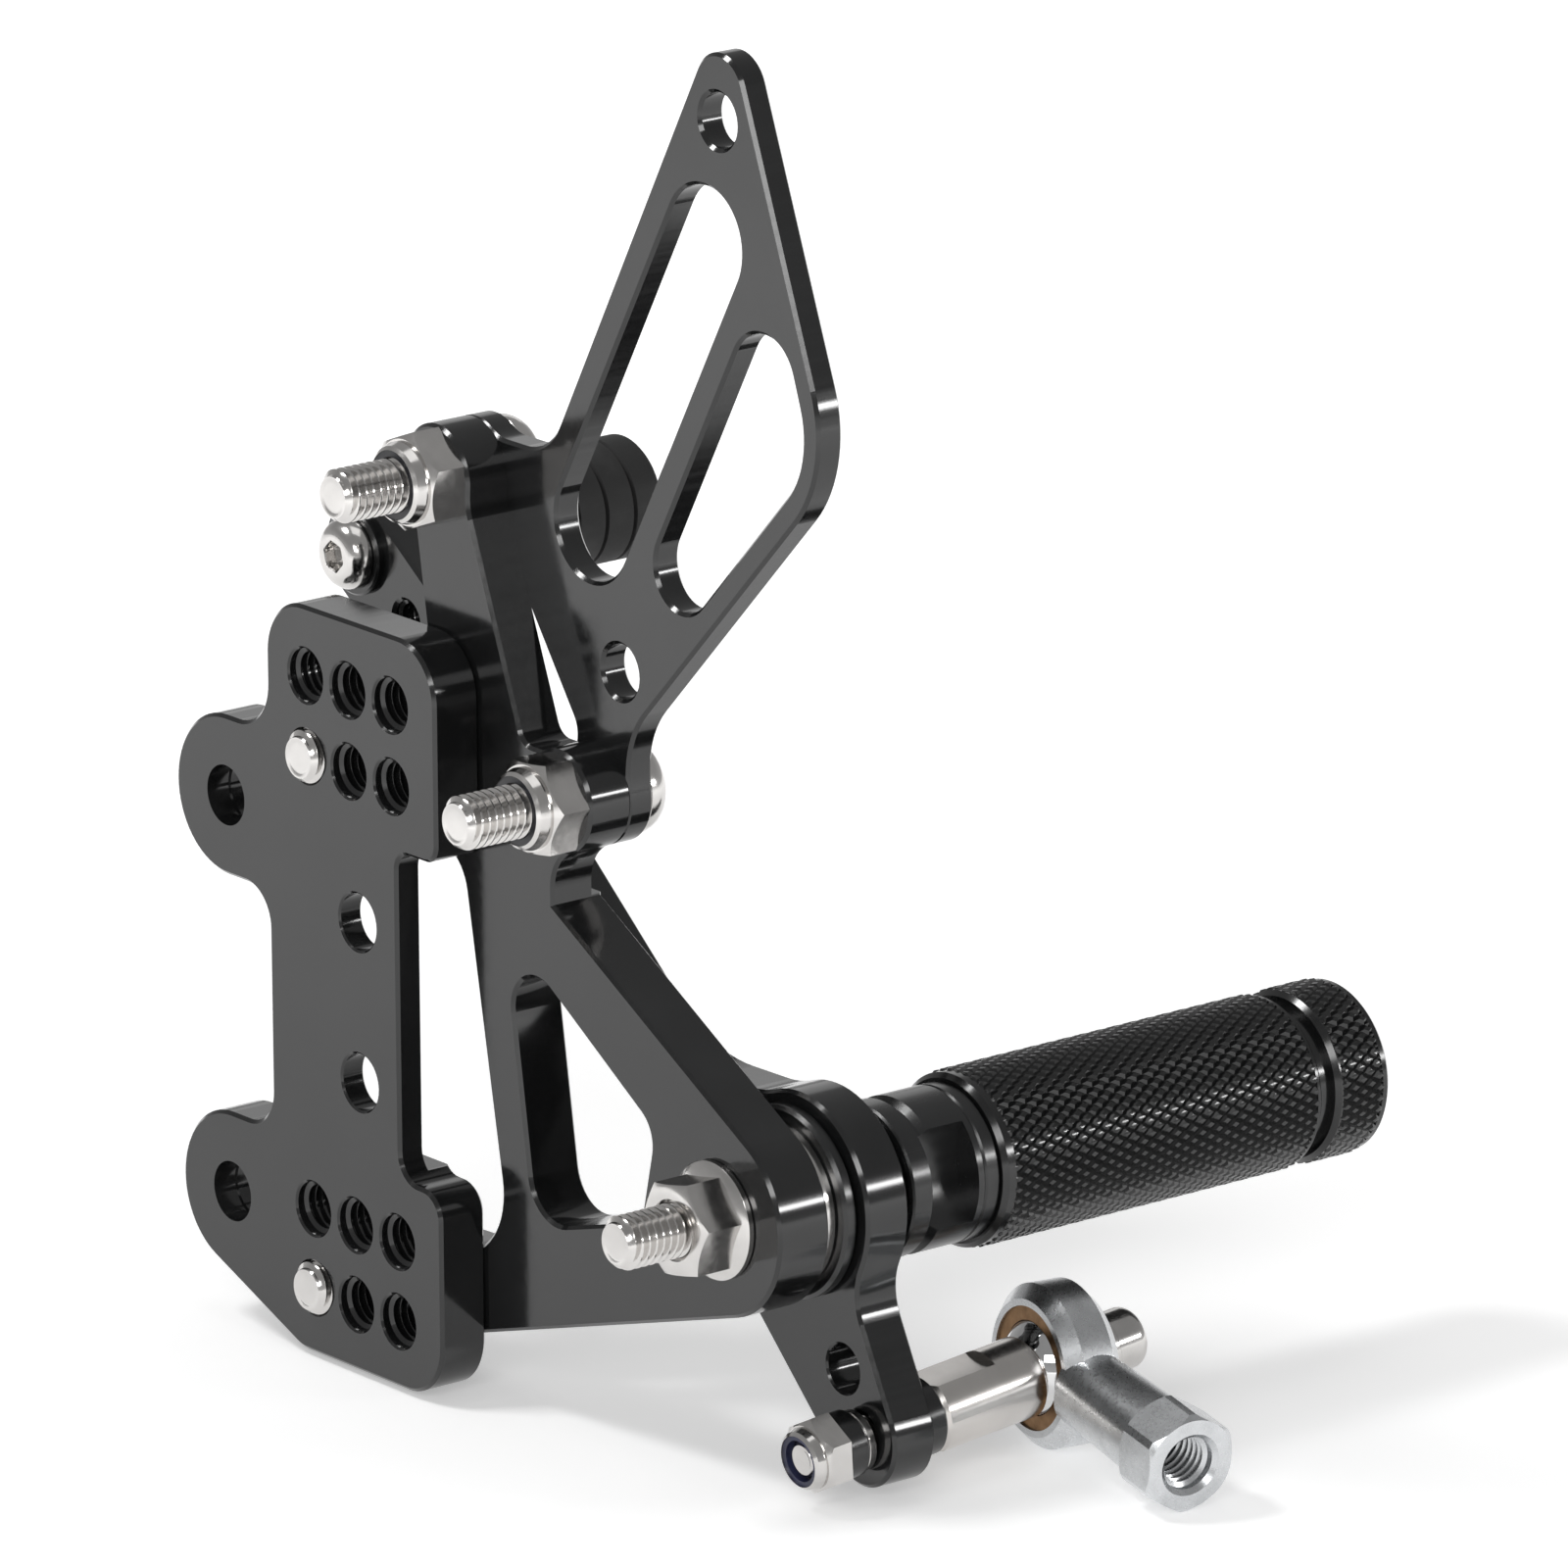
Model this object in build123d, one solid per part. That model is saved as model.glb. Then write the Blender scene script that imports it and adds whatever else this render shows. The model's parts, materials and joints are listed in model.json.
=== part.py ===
from build123d import *
import os
from math import acos, atan2, cos, hypot, radians, sin, sqrt, tan

os.makedirs("parts", exist_ok=True)

# Frame: origin midway between the two frame bolt holes on the inboard face of the adapter plate,
# +X rearward, +Y outboard along the foot peg, +Z up. Millimetres.

# Fits and common edges
slip = 0.1            # radial play of pieces slid together
thread_play = 0.05    # radial play of a thread drawn at its outside diameter
run_play = 0.05       # radial play of the pedal on its bush
side_play = 0.3       # play beside the pedal
press_play = 0.02     # radial play of pieces pressed together
head_play = 0.5       # play round a sunk screw head
edge = 0.5            # chamfer on plate edges
break_edge = 0.3      # chamfer on small turned edges
over = 1.0            # cutters reach this far past the piece

# Fasteners
m8 = 4.0              # M8 thread outside radius
m8_clear = 4.2        # M8 through hole radius
m8_af = 13.0
m8_nut = 8.0          # height of nut, nylon collar included
nut_hex = 0.68        # share of that height that is hexagon
insert_lip = 0.5      # nylon ring sits this far inside the collar
m8_button_r = 7.0
m8_button_h = 4.4
m6 = 3.0
m6_clear = 3.3
m6_af = 10.0
m6_nut = 6.0
m6_button_r = 5.25
m6_button_h = 3.3
socket_m8 = 5.0       # hexagon socket across flats
socket_m6 = 4.0
socket_turn = 15.0    # how screws and nuts came to rest
guard_nut_turn = (22.0, 4.0)
peg_nut_turn = 10.0
link_nut_turn = 27.0

# Adapter plate
ear_pitch = 60.0
ear_r = 12.0
ear_hole_r = 4.2
ear_seat_r = 4.5
ear_seat_depth = 4.0
adapter_t = 8.0
web_t = 4.0
lobe_left, lobe_right = 10.2, 50.0
lobe_top, lobe_low = 62.5, -49.7
web_left, web_right = 10.0, 40.5
lobe_in_top, lobe_in_low = 30.7, -18.3
grid_x0, grid_dx, grid_dz = 19.6, 10.0, 12.0
grid_top, grid_low = 52.2, -27.8
plain_x, plain_z, plain_r = 31.2, (18.1, -5.9), 4.25
slant = 22.5          # slope of the edge under the lower ear
slant_r, lobe_r, step_r, web_r = 6.0, 8.5, 7.0, 5.7
notch_low_r, notch_top_r = 4.2, 2.8
relief_gap, relief_r = 1.0, 3.0

# Hanger plate, its inboard face lies on the adapter plate
hanger_t = 9.0
seat_t = 7.0          # thinner where the heel guard sits
peg_x, peg_z = 103.5, -10.0
peg_boss_r = 14.2
lug_r = 7.6
guard_bolt = ((40.3, 84.6), (67.9, 42.9))
adapter_bolt = ((grid_x0, grid_top - grid_dz), (grid_x0, grid_low - grid_dz))
arm_half = 9.6        # half width of the two arms round the adapter bolts
foot_r = 9.3          # bottom edge runs this far under the lower adapter bolt
waist = 14.3          # upper edge runs this far under the middle guard bolt
fork_top_x, fork_low_x, fork_low_z = 45.2, 56.0, -28.9
neck_in, neck_up, neck_back = 7.9, 6.6, 1.4
post_half, post_foot = 6.2, 0.6
arm_r, fork_top_r, fork_low_r, nook_r = 9.0, 7.0, 11.0, 3.0
waist_blend, lug_blend = 6.5, 8.0
window = ((55.3, 21.2, 5.5), (61.8, -21.8, 6.5), (85.9, -15.0, 4.0), (89.2, -0.6, 5.0))
seat_low, seat_left, seat_step = 27.5, 36.0, 56.0

# Heel guard
guard_t = 4.4
guard_hole_r = 4.0
guard_hole = ((96.5, 145.7), (73.5, 61.8))
guard_slot_r = 8.1
guard_slot = ((67.2, 81.8), (93.2, 127.8))
short_slot = ((59.5, 41.6, 6.0), (116.6, 100.7, 13.0), (107.6, 126.9, 6.8))
guard_rear = (121.4, 100.1, 19.0)
guard_tip = (97.8, 163.2, 5.7)
guard_front = (57.3, 90.2, 9.0)
guard_low = 2.2       # lower edge starts this far over the middle bolt
guard_blend, front_blend, guard_nook = 14.0, 6.0, 4.0

# Pedal
pedal_t = 7.5
pedal_ring_r = 15.75
pedal_bore_r = 10.0
toe_x, toe_z = 2.6, 63.0
toe_end_r = 8.0
toe_spare = 13.8      # second toe position, along the arm
arm_turn = -35.5      # direction of the toe end of the arm
link_turn = -66.2     # direction of the short arm
link_hole = (24.7, 34.4)
link_hole_r = 3.6
link_end_r = 7.6
arm_bend = 25.0       # radius of the bends of the arm
arm_top = ((44.0, 29.8), (75.5, 3.5))
arm_low = ((74.5, -9.9), (36.6, 21.5))
arm_straight = (18.7, 21.1)
arm_root = 14.0
link_root = (9.0, -5.0)
link_flank = ((0.896, 0.444), (0.698, 0.716))
arm_blend, link_blend = 15.0, 9.0

# Stack on the peg axis
washer_t, washer_r = 2.9, 12.0
flange_t, flange_r = 2.3, 14.0
spacer_t, spacer_r = 4.0, 10.0
hub_r = 11.5
hub_len = 15.7
hub_groove, hub_groove_at = 0.9, 3.6
hub_ring_at = 2.6
scoop_r, scoop_reach, scoop_turn = 12.4, 19.0, 9.4
spigot_r, spigot_len = 9.0, 12.0
sleeve_r, sleeve_len, sleeve_edge = 13.0, 59.2, 1.2
neck_r, neck_len = 11.0, 2.6
cap_len = 10.0
plug_r, plug_len = 6.0, 10.0
skirt_r, skirt_h, skirt_edge = 8.7, 3.2, 1.1
stud_in = 5.0         # stud end, inside the peg hub
stud_out = 10.1       # stud end, inboard of the adapter face
adapter_bolt_len = 16.0
adapter_bolt_out = 1.5
guard_bolt_len = 29.5

# Toe peg
toe_r, toe_core_r = 9.1, 5.0
toe_len = 41.5
toe_rubber_len = 26.0
toe_neck_r = 7.0
toe_screw_len, toe_thread_len = 13.0, 16.0
toe_groove, groove_deep, groove_half = 5.2, 0.6, 0.35
toe_washer_t, toe_washer_r = 1.2, 6.3

# Brake rod linkage
standoff_r, standoff_len = 6.0, 18.3
standoff_af, standoff_flat = 10.0, 11.0
link_lean = 5.5       # the linkage bolt is only hand tight and leans in its hole
lean_gap = 0.02       # least gap between a leaning washer and the pedal
link_tip = 0.3        # bolt end stands this far out of the nut
collar_t, collar_r = 3.5, 4.9
lock_washer_t, lock_washer_r = 1.6, 4.5
link_washer_t, link_washer_r = 3.2, 5.8
link_flange_t, link_flange_r = 2.4, 4.9
link_head_r, link_head_h = 4.6, 5.6
ball_r, ball_w, ball_bore_r = 7.94, 12.0, 4.0
ball_side = 0.1       # end play of the ball on its spigot
liner_r, liner_bore, liner_in = 9.0, 5.0, 0.4
rod_head_r, rod_head_w, rod_head_edge = 12.0, 9.0, 2.0
rod_len, rod_neck = 36.0, (5.6, 6.5)
rod_hex_af, rod_hex_r, rod_hex_len = 13.6, 7.55, 8.0
rod_hex_edge = 0.7
rod_thread_len = 16.0
rod_swivel, rod_tilt = 7.8, 7.6

# Stations along Y
y_hanger = adapter_t
y_seat = y_hanger + seat_t
y_back = y_hanger + hanger_t
y_guard = y_seat + guard_t
y_washer = y_back + washer_t
y_flange = y_washer + flange_t
y_pedal = y_flange + side_play
y_pedal_back = y_pedal + pedal_t
y_spacer = y_pedal_back + side_play
y_hub = y_spacer + spacer_t
y_sleeve = y_hub + hub_len
y_neck = y_sleeve + sleeve_len
y_cap = y_neck + neck_len
y_cap_end = y_cap + cap_len
y_mid = y_pedal + pedal_t / 2
link_x = peg_x + link_hole[1] * cos(radians(link_turn))
link_z = peg_z + link_hole[1] * sin(radians(link_turn))


def lean_seat(r):
    """Distance along the leaning bolt from the middle of the pedal to a washer that just touches it."""
    a = radians(link_lean)
    return (pedal_t / 2 + r * sin(a)) / cos(a) + lean_gap


# Stations along the linkage bolt, before it leans
y_lock = y_mid - lean_seat(lock_washer_r)
y_collar = y_lock - lock_washer_t
y_link_nut = y_collar - collar_t
y_washer_in = y_mid + lean_seat(link_washer_r)
y_standoff = y_washer_in + link_washer_t
y_ball = y_standoff + standoff_len + ball_side + ball_w / 2
lean = Pos(link_x, y_mid, link_z) * Rot(link_lean, 0, 0) * Pos(-link_x, -y_mid, -link_z)


def outline(points):
    """Face from corners (x, z, radius), every corner rounded by its radius."""
    arcs = []
    for i, (bx, bz, r) in enumerate(points):
        ax, az, _ = points[i - 1]
        cx, cz, _ = points[(i + 1) % len(points)]
        la, lc = hypot(ax - bx, az - bz), hypot(cx - bx, cz - bz)
        ux, uz, vx, vz = (ax - bx) / la, (az - bz) / la, (cx - bx) / lc, (cz - bz) / lc
        if r == 0:
            arcs.append(((bx, bz), None, (bx, bz), 0))
            continue
        half = acos(ux * vx + uz * vz) / 2
        t = r / tan(half)
        lift = r / sin(half) - r
        s = hypot(ux + vx, uz + vz)
        mid = (bx + (ux + vx) / s * lift, bz + (uz + vz) / s * lift)
        arcs.append(((bx + ux * t, bz + uz * t), mid, (bx + vx * t, bz + vz * t), r))
    edges = []
    for i, (start, mid, end, r) in enumerate(arcs):
        if r > 0:
            edges.append(Edge.make_three_point_arc(start, mid, end))
        edges.append(Edge.make_line(end, arcs[(i + 1) % len(arcs)][0]))
    return Face(Wire(edges))


def slab(face, y0, y1):
    """Flat piece between two Y stations."""
    return extrude(Plane.XZ.offset(-y1) * face, amount=y1 - y0, dir=(0, -1, 0))


def rod(x, z, y0, y1, r):
    return Pos(x, (y0 + y1) / 2, z) * Rot(90, 0, 0) * Cylinder(r, y1 - y0)


def turned(x, z, profile):
    """Piece turned about a line along Y, profile as (radius, y) corners."""
    face = Face(Wire(Polyline(*profile, close=True).edges()))
    return Pos(x, 0, z) * revolve(face, Axis.Y)


def hexagon(x, z, y0, y1, af, turn):
    return slab(Pos(x, z) * Rot(0, 0, turn) * RegularPolygon(af / 2, 6, major_radius=False), y0, y1)


def bevelled(piece):
    """Chamfer both flat faces of a plate all round."""
    faces = piece.faces().filter_by(Axis.Y).sort_by(Axis.Y)
    edges = faces[0].edges() + faces[-1].edges()
    return chamfer(edges, edge)


def blend(piece, x, z, r):
    """Round the upright edge nearest to a point."""
    near = piece.edges().filter_by(Axis.Y).sort_by(lambda e: hypot(e.center().X - x, e.center().Z - z))
    return fillet(near[0], r)


def hole(x, z, y0, y1, r, rim=0.0):
    """Cutter for a hole with a small rim chamfer at each end."""
    cut = rod(x, z, y0 - over, y1 + over, r)
    if rim > 0:
        cone = [(0, 0), (r + rim + over, 0), (r, rim + over), (0, rim + over)]
        cut += Pos(0, y0 - over, 0) * turned(x, z, cone)
        back = [(0, 0), (r, 0), (r + rim + over, rim + over), (0, rim + over)]
        cut += Pos(0, y1 - rim, 0) * turned(x, z, back)
    return cut


def button_head(x, z, y, r, h, af, out):
    """Domed socket head on a seat at y, its dome towards out (+1 or -1)."""
    top = 0.55 * r
    dome = [(0, 0), (r, 0), (r, 0.18 * h), (0.88 * r, 0.62 * h), (top, h), (0, h)]
    head = turned(x, z, [(a, y + out * b) for a, b in dome])
    y0, y1 = sorted((y + out * 0.45 * h, y + out * (h + over)))
    return head - hexagon(x, z, y0, y1, af, socket_turn)


def shank(x, z, y0, y1, r):
    """Threaded shank with its tip at y0, drawn at the outside of the thread."""
    tip = 0.24 * r
    return turned(x, z, [(0, y0), (r - tip, y0), (r, y0 + tip), (r, y1), (0, y1)])


def lock_nut(x, z, y, af, h, r, turn):
    """Lock nut sitting on a plate face at y, its nylon collar towards -Y."""
    hex_h = nut_hex * h
    corner = af / sqrt(3)
    collar_out = 0.46 * af
    body = hexagon(x, z, y - hex_h, y, af, turn)
    trim = [(0, y - hex_h), (af / 2 - 0.2, y - hex_h), (corner, y - hex_h + 0.9), (corner, y), (0, y)]
    body = body & turned(x, z, trim)
    lip = 0.16 * af
    ring = [(0, y - h), (collar_out - lip, y - h), (collar_out - 0.55 * lip, y - h + 0.1 * lip),
            (collar_out - 0.2 * lip, y - h + 0.4 * lip), (collar_out, y - h + lip), (collar_out, y - hex_h),
            (0, y - hex_h)]
    body += turned(x, z, ring)
    body -= rod(x, z, y - h - over, y + over, r + thread_play)
    return body - rod(x, z, y - h - over, y - hex_h, insert_r(r))


def insert_r(r):
    """Outside radius of the nylon ring in a lock nut."""
    return 1.26 * r


def nut_insert(x, z, y, h, r):
    """Nylon ring inside the collar of a lock nut."""
    hex_h = nut_hex * h
    ring = rod(x, z, y - h + insert_lip, y - hex_h, insert_r(r) - press_play)
    return ring - rod(x, z, y - h, y, r + thread_play)


def adapter_plate():
    a = ear_pitch / 2
    low = -a - ear_r / cos(radians(slant))
    slant_x = (low - lobe_low) / tan(radians(slant))
    ear_low = low + ear_r * tan(radians(slant))
    ear = ear_r - 0.01
    face = outline([
        (-ear_r, ear_low, ear), (slant_x, lobe_low, slant_r), (lobe_right, lobe_low, lobe_r),
        (lobe_right, lobe_in_low, notch_low_r), (web_right, lobe_in_low, notch_low_r),
        (web_right, lobe_in_top, notch_top_r), (lobe_right, lobe_in_top, notch_top_r),
        (lobe_right, lobe_top, lobe_r), (lobe_left, lobe_top, lobe_r), (lobe_left, a + ear_r, step_r),
        (-ear_r, a + ear_r, ear), (-ear_r, a - ear_r, ear), (web_left, a - ear_r, web_r),
        (web_left, ear_r - a, web_r), (-ear_r, ear_r - a, ear)])
    plate = bevelled(slab(face, 0, adapter_t))
    left, right = web_left - edge, web_right + relief_r + over
    low, top = lobe_in_low + relief_gap, lobe_in_top - relief_gap
    relief = outline([(x, z, relief_r) for x, z in ((left, low), (right, low), (right, top), (left, top))])
    plate -= slab(relief, web_t, adapter_t + over)
    for z in (a, -a):
        plate -= hole(0, z, 0, adapter_t, ear_hole_r, break_edge)
        plate -= rod(0, z, -over, ear_seat_depth, ear_seat_r)
    for top in (grid_top, grid_low):
        for i in range(3):
            for j in range(2):
                plate -= hole(grid_x0 + i * grid_dx, top - j * grid_dz, 0, adapter_t, m8, break_edge)
    for z in plain_z:
        plate -= hole(plain_x, z, 0, web_t, plain_r, break_edge)
    return plate


def hanger_plate():
    tx, tz = guard_bolt[0]
    mx, mz = guard_bolt[1]
    uz = adapter_bolt[0][1]
    lx, lz = adapter_bolt[1]
    rise = atan2(mz - peg_z, mx - peg_x) - acos((peg_boss_r + waist) / hypot(mx - peg_x, mz - peg_z))
    fall = atan2(peg_z - lz, peg_x - lx) - acos((foot_r - peg_boss_r) / hypot(peg_x - lx, peg_z - lz))
    nx, nz = cos(rise), sin(rise)
    bx, bz = cos(fall), sin(fall)
    top_d = peg_x * nx + peg_z * nz + peg_boss_r
    low_d = peg_x * bx + peg_z * bz + peg_boss_r
    det = nx * bz - nz * bx
    tip = ((top_d * bz - low_d * nz) / det, (nx * low_d - bx * top_d) / det)
    neck_x = mx - neck_back
    arm_x = lx - arm_half
    arm_end = arm_half - 0.1
    foot_end = arm_half - post_foot
    face = outline([
        (arm_x, (low_d - bx * arm_x) / bz, arm_r), (tip[0], tip[1], peg_boss_r),
        (neck_x, (top_d - nx * neck_x) / nz, 0), (neck_x, mz + neck_up, 0),
        (mx - neck_in, mz + neck_up, nook_r), (tx + post_half, tz, 0), (tx - post_half, tz, 0),
        (tx - post_foot, uz + arm_half, arm_r), (arm_x, uz + arm_half, arm_end),
        (arm_x, uz - arm_half, arm_end), (fork_top_x, uz - arm_half, fork_top_r),
        (fork_low_x, fork_low_z, fork_low_r), (arm_x, lz + foot_end, foot_end)])
    plate = slab(face, y_hanger, y_back)
    for x, z in guard_bolt:
        plate += rod(x, z, y_hanger, y_back, lug_r)
    plate = blend(plate, mx + 0.44 * lug_r, mz - 0.9 * lug_r, waist_blend)
    plate = blend(plate, tx + 0.94 * lug_r, tz - 0.38 * lug_r, lug_blend)
    plate = blend(plate, tx - 0.69 * lug_r, tz - 0.75 * lug_r, lug_blend)
    plate -= slab(outline(window), y_hanger - over, y_back + over)
    plate = bevelled(plate)
    right, top, left = mx + 2 * lug_r, tz + 2 * lug_r, tx - 3 * lug_r
    seat = outline([(seat_left, seat_low, 0), (right, seat_low, 0), (right, top, 0), (left, top, 0),
                    (left, seat_step, 0), (seat_left, seat_step, 0)])
    plate -= slab(seat, y_seat, y_back + over)
    for x, z in guard_bolt:
        plate -= hole(x, z, y_hanger, y_seat, m8_clear)
    for x, z in adapter_bolt:
        plate -= hole(x, z, y_hanger, y_back, m8_clear)
        plate -= rod(x, z, adapter_bolt_len - adapter_bolt_out, y_back + over, m8_button_r + head_play)
    return plate - hole(peg_x, peg_z, y_hanger, y_back, m8_clear)


def heel_guard():
    tx, tz = guard_bolt[0]
    mx, mz = guard_bolt[1]
    front_z = guard_front[1]
    face = outline([
        (mx, mz + guard_low, 0), guard_rear, guard_tip, guard_front, (tx, front_z, 0), (tx, tz, 0)])
    guard = slab(face, y_seat, y_guard)
    for x, z in guard_bolt:
        guard += rod(x, z, y_seat, y_guard, lug_r)
    guard = blend(guard, mx + 0.8 * lug_r, mz + 0.65 * lug_r, guard_blend)
    guard = blend(guard, tx + 0.7 * lug_r, front_z, front_blend)
    guard = blend(guard, tx + 0.65 * lug_r, tz - 0.8 * lug_r, guard_nook)
    guard = blend(guard, mx - 0.5 * lug_r, mz + 0.9 * lug_r, guard_nook)
    (ax, az), (bx, bz) = guard_slot
    length = hypot(bx - ax, bz - az)
    dx, dz = (bx - ax) / length * guard_slot_r, (bz - az) / length * guard_slot_r
    round_end = guard_slot_r - 0.01
    long_slot = outline([(ax - dx + dz, az - dz - dx, round_end), (bx + dx + dz, bz + dz - dx, round_end),
                         (bx + dx - dz, bz + dz + dx, round_end), (ax - dx - dz, az - dz + dx, round_end)])
    guard -= slab(long_slot, y_seat - over, y_guard + over)
    guard -= slab(outline(short_slot), y_seat - over, y_guard + over)
    guard = bevelled(guard)
    for x, z in guard_hole:
        guard -= hole(x, z, y_seat, y_guard, guard_hole_r, edge)
    for x, z in guard_bolt:
        guard -= hole(x, z, y_seat, y_guard, m8_clear)
    return guard


def pedal():
    ux, uz = cos(radians(arm_turn)), sin(radians(arm_turn))
    nx, nz = -uz * toe_end_r, ux * toe_end_r
    (sx, sz), (wx, wz) = [(a * link_end_r, b * link_end_r) for a, b in link_flank]
    top, low = arm_straight
    face = outline([
        (toe_x + nx, toe_z + nz, 0), (toe_x + nx + top * ux, toe_z + nz + top * uz, arm_bend),
        (*arm_top[0], arm_bend), (*arm_top[1], arm_bend), (peg_x, peg_z + arm_root, 0),
        (peg_x + link_root[0], peg_z + link_root[1], 0),
        (link_x + sx, link_z + sz, 0), (link_x, link_z, 0), (link_x - wx, link_z - wz, 0),
        (*arm_low[0], 1.6 * arm_bend), (*arm_low[1], arm_bend),
        (toe_x - nx + low * ux, toe_z - nz + low * uz, arm_bend), (toe_x - nx, toe_z - nz, 0),
        (toe_x, toe_z, 0)])
    lever = slab(face, y_pedal, y_pedal_back)
    lever += rod(toe_x, toe_z, y_pedal, y_pedal_back, toe_end_r)
    lever += rod(peg_x, peg_z, y_pedal, y_pedal_back, pedal_ring_r)
    lever += rod(link_x, link_z, y_pedal, y_pedal_back, link_end_r)
    lever = blend(lever, peg_x - 0.5 * pedal_ring_r, peg_z + 0.86 * pedal_ring_r, arm_blend)
    lever = blend(lever, peg_x + 0.76 * pedal_ring_r, peg_z - 0.64 * pedal_ring_r, link_blend)
    lever = bevelled(lever)
    lever -= hole(peg_x, peg_z, y_pedal, y_pedal_back, pedal_bore_r, edge)
    lever -= hole(toe_x, toe_z, y_pedal, y_pedal_back, m6_clear)
    lever -= hole(toe_x + toe_spare * ux, toe_z + toe_spare * uz, y_pedal, y_pedal_back, m6, edge)
    for d in link_hole:
        x, z = peg_x + d * cos(radians(link_turn)), peg_z + d * sin(radians(link_turn))
        lever -= hole(x, z, y_pedal, y_pedal_back, link_hole_r, break_edge)
    return lever


def adapter_bolts():
    bolts = []
    seat = adapter_bolt_len - adapter_bolt_out
    for x, z in adapter_bolt:
        head = button_head(x, z, seat, m8_button_r, m8_button_h, socket_m8, 1)
        bolts.append(head + shank(x, z, -adapter_bolt_out, seat, m8 - thread_play))
    return bolts


def guard_bolts():
    bolts = []
    for x, z in guard_bolt:
        head = button_head(x, z, y_guard, m8_button_r, m8_button_h, socket_m8, 1)
        bolts.append(head + shank(x, z, y_guard - guard_bolt_len, y_guard, m8 - thread_play))
    return bolts


def guard_nuts():
    return [lock_nut(x, z, y_hanger, m8_af, m8_nut, m8, t) for (x, z), t in zip(guard_bolt, guard_nut_turn)]


def guard_inserts():
    return [nut_insert(x, z, y_hanger, m8_nut, m8) for x, z in guard_bolt]


def peg_nut():
    face = y_hanger - m8_nut
    body = hexagon(peg_x, peg_z, face, y_hanger, m8_af, peg_nut_turn)
    corner = m8_af / sqrt(3)
    trim = [(0, face), (m8_af / 2 - 0.1, face), (corner, face + 0.8), (corner, y_hanger), (0, y_hanger)]
    body = body & turned(peg_x, peg_z, trim)
    top = y_hanger - skirt_h
    low = y_hanger - skirt_edge
    skirt = [(0, top), (m8_af / 2, top), (skirt_r, low), (skirt_r, y_hanger), (0, y_hanger)]
    body += turned(peg_x, peg_z, skirt)
    return body - hole(peg_x, peg_z, face, y_hanger, m8 + thread_play, edge)


def pivot_bush():
    r = pedal_bore_r - run_play
    return turned(peg_x, peg_z, [
        (m8 + slip, y_washer), (flange_r - edge, y_washer), (flange_r, y_washer + edge),
        (flange_r, y_flange - edge), (flange_r - edge, y_flange), (r, y_flange), (r, y_spacer),
        (m8 + slip, y_spacer)])


def peg_hub():
    bore = m8 + thread_play
    blind = y_sleeve + stud_in + over
    groove = y_hub + hub_groove_at
    ring = y_sleeve - hub_ring_at
    end = y_sleeve + spigot_len
    c, g = break_edge, hub_groove
    hub = turned(peg_x, peg_z, [
        (bore, y_hub), (hub_r - c, y_hub), (hub_r, y_hub + c), (hub_r, groove - c), (hub_r - g, groove),
        (hub_r - g, groove + g), (hub_r, groove + 2 * g), (hub_r, ring - c), (hub_r - c, ring),
        (hub_r, ring + c), (hub_r, y_sleeve - c), (hub_r - c, y_sleeve), (spigot_r, y_sleeve),
        (spigot_r, end - edge), (spigot_r - edge, end), (0, end), (0, blind), (bore, blind)])
    dx, dz = scoop_reach * cos(radians(scoop_turn)), scoop_reach * sin(radians(scoop_turn))
    for side in (1, -1):
        hub -= rod(peg_x + side * dx, peg_z + side * dz, groove + g / 2, ring - hub_ring_at / 2, scoop_r)
    return hub


def peg_sleeve():
    bore = spigot_r + slip
    deep = y_sleeve + spigot_len + edge
    tail = y_neck - plug_len - edge
    c, plug = sleeve_edge, plug_r + slip
    return turned(peg_x, peg_z, [
        (bore, y_sleeve), (sleeve_r - c, y_sleeve), (sleeve_r, y_sleeve + c), (sleeve_r, y_neck - c),
        (sleeve_r - c, y_neck), (plug, y_neck), (plug, tail), (0, tail), (0, deep), (bore, deep)])


def peg_cap():
    tail = y_neck - plug_len
    c = sleeve_edge
    return turned(peg_x, peg_z, [
        (0, tail), (plug_r - edge, tail), (plug_r, tail + edge), (plug_r, y_neck), (neck_r, y_neck),
        (neck_r, y_cap), (sleeve_r - edge, y_cap), (sleeve_r, y_cap + edge), (sleeve_r, y_cap_end - c),
        (sleeve_r - c, y_cap_end), (0, y_cap_end)])


def toe_peg():
    y_end = y_pedal_back + toe_len
    y_rubber = y_end - toe_rubber_len
    bore = m6 + thread_play
    deep = y_pedal_back + toe_thread_len
    core_end = y_end - break_edge
    core = turned(toe_x, toe_z, [
        (bore, y_pedal_back), (toe_neck_r, y_pedal_back), (toe_neck_r, y_rubber), (toe_core_r, y_rubber),
        (toe_core_r, core_end - edge), (toe_core_r - edge, core_end), (0, core_end), (0, deep),
        (bore, deep)])
    inside = toe_core_r + press_play
    profile = [(inside, y_rubber), (toe_r - edge, y_rubber), (toe_r, y_rubber + edge)]
    count = int(toe_rubber_len / toe_groove) - 1
    for i in range(count):
        y = y_end - toe_groove * (count - i)
        profile += [(toe_r, y - groove_half), (toe_r - groove_deep, y), (toe_r, y + groove_half)]
    profile += [(toe_r, y_end - groove_deep), (toe_r - groove_deep, y_end), (inside, y_end)]
    rubber = turned(toe_x, toe_z, profile)
    return core, rubber


def toe_screw():
    seat = y_pedal - toe_washer_t
    head = button_head(toe_x, toe_z, seat, m6_button_r, m6_button_h, socket_m6, -1)
    tip = y_pedal_back + toe_screw_len
    r = m6 - thread_play
    return head + turned(toe_x, toe_z, [(0, seat), (r, seat), (r, tip - edge), (r - edge, tip), (0, tip)])


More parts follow.
